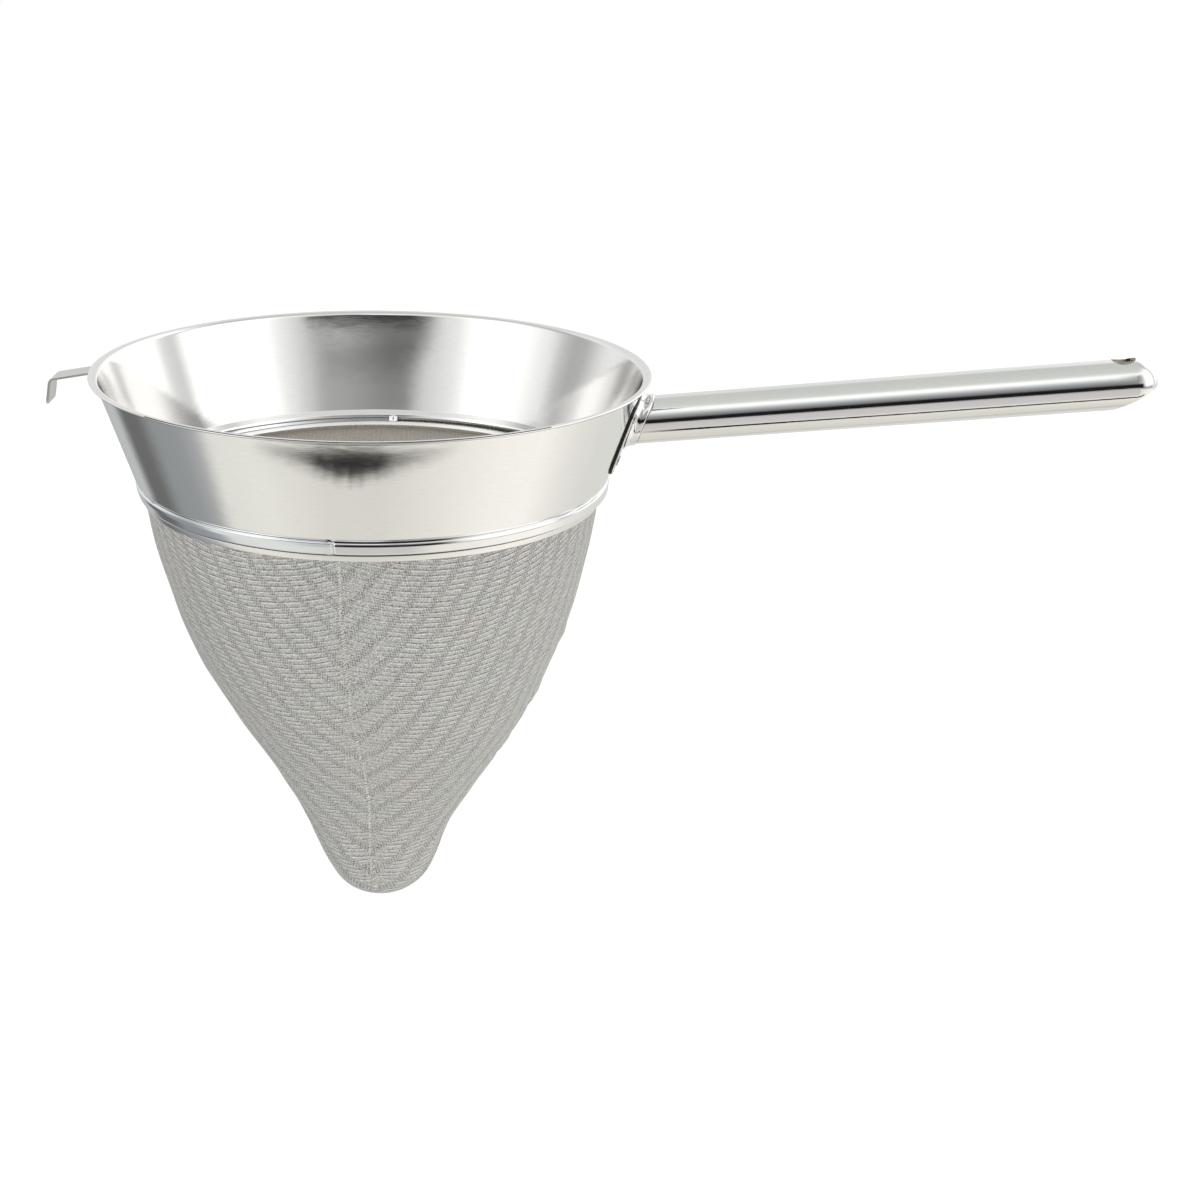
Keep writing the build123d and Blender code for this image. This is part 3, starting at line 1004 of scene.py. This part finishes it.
# Hook
def hook():
    """A bent strip with rounded corners and eased edges."""
    half, corner = 5.75, 1.3
    points = [Vector(p) for p in ((97.14, -14.9), (101.37, -2.62), (119.6, -6.0), (120.93, -14.9))]
    stations = [0.0, 2.0]
    stations += [half - corner + corner * math.sin(math.radians(90.0 * i / 8)) for i in range(9)]
    stations = [-s for s in stations[::-1]] + stations[1:]
    verts = []
    for y in stations:
        over = max(0.0, abs(y) - (half - corner))
        trim = corner - math.sqrt(max(0.0, corner ** 2 - over ** 2))
        line = [p.copy() for p in points]
        line[0] += (points[1] - points[0]).normalized() * trim
        line[-1] += (points[-2] - points[-1]).normalized() * trim
        gauge = STRIP_GAUGE if abs(y) < half - 0.2 else STRIP_GAUGE * 0.7
        verts += [(-p.x, y, p.y) for p in sheet_loop(bent_line(line, [3.0, 2.2], 8), gauge)]
    count = len(stations)
    size = len(verts) // count
    faces = skin(count, size) + [ring_face(0, size), ring_face(count - 1, size)]
    outward(new_piece("rest_hook", verts, faces, ["hook_strip"], HOOK_STEEL))


def spot_welds():
    """The flattened buttons keep their own meshes and take a material."""
    for name in ("plate_spot_welds", "hook_spot_welds"):
        node = frame["nodes"][name]
        node.data.materials.clear()
        node.data.materials.append(WELD_STEEL)


# Camera
def camera():
    """Stands before the mouth and above it, and looks down a little."""
    heading, pitch, roll = math.radians(-0.555), math.radians(19.193), math.radians(1.351)
    stand = Vector((94.5, -829.3, 200.1))
    level = math.cos(pitch)
    ahead = Vector((math.sin(heading) * level, math.cos(heading) * level, -math.sin(pitch)))
    right = ahead.cross(Vector((0, 0, 1))).normalized()
    up = right.cross(ahead)
    across = right * math.cos(roll) + up * math.sin(roll)
    top = up * math.cos(roll) - right * math.sin(roll)
    data = bpy.data.cameras.new("camera")
    data.lens = 68.558
    data.sensor_width = 36.0
    data.clip_start = 0.01
    data.clip_end = 50.0
    cam = bpy.data.objects.new("camera", data)
    bpy.context.scene.collection.objects.link(cam)
    cam.matrix_world = Matrix.Translation(stand * MM) @ Matrix((across, top, -ahead)).transposed().to_4x4()
    bpy.context.scene.camera = cam


# Studio
def stage_plane(name, corners, material, seen):
    """A plane of the stage, either seen by the camera and dull, or seen by bright steel alone."""
    plane = new_object(name, corners, [tuple(range(len(corners)))])
    plane.data.materials.append(material)
    plane.visible_glossy = not seen
    plane.visible_camera = seen
    plane.visible_diffuse = seen
    plane.visible_transmission = seen
    plane.visible_shadow = seen


def floor():
    """White ground that glows a little, so that it fades into the white around it."""
    material, g = new_material("floor")
    diffuse = g.node("ShaderNodeBsdfDiffuse", {"Color": shade(0.85)})
    glow = g.node("ShaderNodeEmission", {"Color": shade(1.0), "Strength": 0.2})
    g.output(g.node("ShaderNodeAddShader", {0: diffuse.outputs[0], 1: glow.outputs[0]}))
    size, height = 6000.0, -480.0
    corners = [(-size, -size, height), (size, -size, height), (size, size, height), (-size, size, height)]
    stage_plane("floor", corners, material, True)


# Surround, by degrees above the horizon and by degrees round from the camera's side
BACK = [
    (-90, (0.74, 0.72, 0.66)), (-76, (0.76, 0.74, 0.70)), (-62, (0.50, 0.49, 0.46)),
    (-42, (0.50, 0.49, 0.46)), (-22, (0.66, 0.66, 0.63)), (-8, 0.78), (6, (0.70, 0.71, 0.70)),
    (16, (0.68, 0.69, 0.68)), (36, (0.62, 0.64, 0.62)), (60, (0.62, 0.64, 0.61)), (80, (0.64, 0.66, 0.63)),
    (90, (0.65, 0.67, 0.64)),
]
FRONT = [
    (-90, (0.76, 0.73, 0.66)), (-66, (0.80, 0.78, 0.72)), (-50, (0.68, 0.67, 0.66)),
    (-14, (0.62, 0.59, 0.60)), (-9, 0.40), (-6, 0.01), (8, 0.01), (11, 0.12), (17, (0.24, 0.25, 0.26)),
    (25, (0.37, 0.38, 0.39)), (34, (0.62, 0.64, 0.66)), (40, (0.90, 0.91, 0.93)), (45, 1.15), (54, 1.15),
    (63, (0.78, 0.80, 0.77)), (72, (0.68, 0.70, 0.67)), (90, (0.65, 0.67, 0.64)),
]
BELOW = [
    (-180, (0.72, 0.73, 0.70)), (-160, (0.50, 0.51, 0.51)), (-143, (0.56, 0.58, 0.59)),
    (-134, 0.16), (-122, 0.17), (-112, (0.32, 0.34, 0.35)), (-98, (0.34, 0.36, 0.37)),
    (-88, (0.44, 0.45, 0.46)), (-80, (0.86, 0.86, 0.81)), (-55, (0.92, 0.91, 0.85)),
    (-20, (0.80, 0.785, 0.735)), (10, (0.80, 0.785, 0.735)), (44, (0.92, 0.90, 0.84)),
    (75, (1.06, 1.03, 0.98)), (97, (1.10, 1.07, 1.03)), (118, (0.90, 0.88, 0.84)),
    (136, (0.80, 0.80, 0.76)), (180, (0.72, 0.73, 0.70)),
]
# Above the horizon: how white the panels are, and the grey patches between and beyond them
PANELS = [
    (-180, 0.0), (-88, 0.0), (-78, 0.25), (-70, 0.6), (-63, 1.0), (-46, 1.0), (-34, 0.0), (42, 0.0),
    (50, 0.3), (60, 1.0), (98, 1.0), (105, 0.22), (112, 0.36), (120, 1.0), (150, 1.0), (175, 0.0), (180, 0.0),
]
PATCHES = [
    (-180, 0.80), (-150, 0.85), (-124, 0.94), (-118, 0.90), (-111, 0.72), (-104, 0.50), (-97, 0.48),
    (-91, 0.60), (-83, 0.90), (-34, 0.95), (-24, 0.80), (-14, 0.66), (-9, 0.40), (14, 0.30), (34, 0.52),
    (40, 0.72), (46, 0.80), (104, 0.50), (114, 0.50), (124, 1.0), (180, 0.82),
]
PANEL_WHITE = (1.42, 1.42, 1.41)
TO_DEGREES = 57.29578


def world():
    """White to the eye and to dull surfaces. Bright steel sees a studio of white and grey panels."""
    studio = bpy.data.worlds.new("studio")
    bpy.context.scene.world = studio
    studio.use_nodes = True
    g = Graph(studio.node_tree)
    x, y, z = g.split(g.node("ShaderNodeTexCoord").outputs["Generated"])
    turn = g.times(g.math("ARCTAN2", x, g.times(y, -1.0)), TO_DEGREES)
    rise = g.times(g.math("ARCSINE", z), TO_DEGREES)

    def upward(stops):
        share = g.times(g.add(rise, 90.0), 1 / 180)
        return g.ramp(share, [((degrees + 90.0) / 180.0, colour) for degrees, colour in stops])

    def around(stops):
        share = g.times(g.add(turn, 180.0), 1 / 360)
        return g.ramp(share, [((degrees + 180.0) / 360.0, colour) for degrees, colour in stops])

    def patch(centre, half, soft, height, height_half, height_soft):
        """A soft part of the surround, by degrees round and degrees above the horizon."""
        return g.times(g.window(turn, centre, half, soft), g.window(rise, height, height_half, height_soft))

    front = upward(FRONT)
    upper = g.mix(around(PANELS), around(PATCHES), PANEL_WHITE)
    band = g.mix(g.window(rise, 22.0, 26.0, 16.0), 0.0, 1.0)
    sky = g.mix(g.window(turn, 0.0, 95.0, 20.0), upward(BACK), front)
    # straight ahead the panels give way to the dark gap between them
    straight = g.window(turn, 1.0, 11.0, 10.0)
    keep = g.math("MAXIMUM", straight, patch(0.0, 42.0, 16.0, -4.0, 14.0, 6.0))
    sky = g.mix(g.times(band, g.less(1.0, keep)), sky, upper)
    ground = g.mix(g.window(rise, -38.0, 26.0, 12.0), sky, around(BELOW))
    ground = g.mix(patch(0.0, 30.0, 16.0, -26.0, 16.0, 10.0), ground, front)
    seen_by_steel = g.mix(g.rise(rise, -9.0, -15.0), sky, ground)
    paths = g.node("ShaderNodeLightPath")
    glossy = g.node("ShaderNodeBackground", {"Color": seen_by_steel, "Strength": 1.0})
    plain = g.node("ShaderNodeBackground", {"Color": shade(1.0), "Strength": 1.0})
    inputs = {0: paths.outputs["Is Glossy Ray"], 1: plain.outputs[0], 2: glossy.outputs[0]}
    g.output(g.node("ShaderNodeMixShader", inputs), "ShaderNodeOutputWorld")


# Cards
def card(name, corners, toward, share, tone=None):
    """A card that only bright steel sees, and only from the side that faces the object."""
    material, g = new_material(name)
    x, _, z = g.split(g.node("ShaderNodeTexCoord").outputs["Object"])
    x, z = g.times(x, 1000.0), g.times(z, 1000.0)
    glow = g.node("ShaderNodeEmission", {"Color": tone(g, x, z) if tone else shade(0.02), "Strength": 1.0})
    clear = g.node("ShaderNodeBsdfTransparent")
    front = g.less(1.0, g.node("ShaderNodeNewGeometry").outputs["Backfacing"])
    inputs = {0: g.times(front, share(g, x, z)), 1: clear.outputs[0], 2: glow.outputs[0]}
    g.output(g.node("ShaderNodeMixShader", inputs))
    corners = [Vector(c) for c in corners]
    normal = (corners[1] - corners[0]).cross(corners[2] - corners[1])
    if normal.dot(Vector(toward) - corners[0]) < 0:
        corners = corners[::-1]
    stage_plane(name, corners, material, False)


SMUDGE_WEIGHT = [
    (0.06, 0.0), (0.16, 0.42), (0.25, 0.64), (0.33, 0.76), (0.39, 1.0), (0.71, 1.0), (0.78, 0.80),
    (0.90, 0.50), (0.96, 0.25), (1.0, 0.0),
]
SMUDGE_THICK = [
    (0.06, 0.08), (0.16, 0.18), (0.25, 0.28), (0.33, 0.38), (0.43, 0.50), (0.50, 0.56), (0.61, 0.55),
    (0.69, 0.48), (0.74, 0.38), (0.82, 0.30), (0.90, 0.22), (0.98, 0.12),
]
SMUDGE_MOST = 20.0


def front_card():
    """For the dark smudge under the lip: a thick middle and two thin tails, below the front of the collar.

    It leans so that the band below sees only its clear side.
    """
    middle_x, middle_y, middle_z = 6.4, -145.6, -73.5

    def smudge(g, x, z):
        u = g.less(middle_x, x)
        v = g.times(g.less(z, middle_z), -1 / 2.07)
        span = g.times(g.add(u, 80.0), 1 / 160)
        stroke = g.noise(g.join(g.times(u, 0.22), g.times(v, 0.03), 0.0), 1.0, 1.5, 0.5)
        thick = g.times(g.ramp(span, SMUDGE_THICK), SMUDGE_MOST)
        thick = g.times(thick, g.add(0.80, g.times(stroke, 0.40)))
        offset = g.less(u, 8.0)
        depth = g.less(g.less(6.0, g.times(g.times(offset, offset), 0.00275)), v)
        edges = g.times(g.rise(depth, -0.2, 0.8), g.rise(g.less(thick, depth), -3.0, 3.5))
        return g.times(g.ramp(span, SMUDGE_WEIGHT), edges)

    corners = []
    for u, v in ((-72.0, -12.5), (76.0, -12.5), (76.0, 7.0), (-72.0, 7.0)):
        corners.append(Vector((middle_x, middle_y, middle_z)) + Vector((-u, -2.75 * v, -2.06 * v)))
    card("card_front", corners, (0, -97, -10), smudge)


PATCH_LIGHT = [
    (0.04, 0.43), (0.18, 0.44), (0.36, 0.38), (0.48, 0.31), (0.62, 0.43), (0.76, 0.56), (0.83, 0.50),
    (0.87, 0.05),
]
PATCH_DEEP = [
    (0.04, 0.27), (0.18, 0.27), (0.36, 0.20), (0.48, 0.165), (0.62, 0.15), (0.78, 0.26), (0.83, 0.16),
    (0.87, 0.03),
]
PATCH_EDGE = [(0.04, 0.57), (0.36, 0.63), (0.48, 0.75), (0.62, 0.87), (0.76, 0.95)]


def mouth_card():
    """Before the mouth, for the dark patch on the inner wall: a black strip above, grey below."""
    def height(g, x, z):
        offset = g.add(x, 8.0)
        return g.less(z, g.times(g.times(offset, offset), 0.00135))

    def share_up(g, x, z):
        return g.times(g.less(height(g, x, z), 40.0), 1 / 50)

    def tone(g, x, z):
        up = share_up(g, x, z)
        return g.mix(g.rise(x, -20.0, 60.0), g.ramp(up, PATCH_DEEP), g.ramp(up, PATCH_LIGHT))

    def reach(g, x, z):
        edge = g.times(g.ramp(share_up(g, x, z), PATCH_EDGE), -60.0)
        patch = g.times(g.rise(g.less(x, edge), -18.0, 18.0), g.rise(x, 84.0, 58.0))
        strip = g.times(g.window(x, 24.0, 76.0, 16.0), g.rise(height(g, x, z), 81.5, 83.5))
        return g.math("MAXIMUM", strip, patch)

    corners = [(-90, -84, 34), (112, -84, 34), (112, -84, 120), (-90, -84, 120)]
    card("card_mouth", corners, (0, 90, 0), reach, tone)


def handle_card():
    """Below and before the handle, for the thin dark line along it."""
    below, above = [], []
    for along, drop, half in ((-4, -29.5, 6.0), (90, -33.5, 4.2), (215, -34.5, 4.0)):
        place = HANDLE_ROOT + HANDLE_WAY * along + Vector((5 + along * 0.03, -31.2, drop))
        below.append(place - Vector((0, 0, half)))
        above.append(place + Vector((0, 0, half)))

    def fade_in(g, x, z):
        return g.rise(x, 97.0, 122.0, 0.1, 1.0)

    card("card_handle", below + above[::-1], (150, 0, 0), fade_in)


collar()
# foot is the height below which the shade under each bead is painted
half_band(
    "band_right", FRONT_JOINT, BACK_JOINT, "clamp_band_handle_side", FULL_BEAD,
    first_taper=1.2, last_taper=2.0, foot=-44.12, material=BAND_STEEL,
)
half_band(
    "band_left", BACK_JOINT, FRONT_JOINT + 360.0, "clamp_band_hook_side", FLAT_BEAD,
    first_taper=2.0, last_taper=3.2, foot=-44.72, material=REFLECTION_TINTED_STEEL,
)
joint_welds()
hoops()
cone()
seam()
plate()
socket()
tube()
hook()
spot_welds()
camera()
world()
floor()
front_card()
mouth_card()
handle_card()
bpy.context.scene.view_settings.view_transform = "Standard"
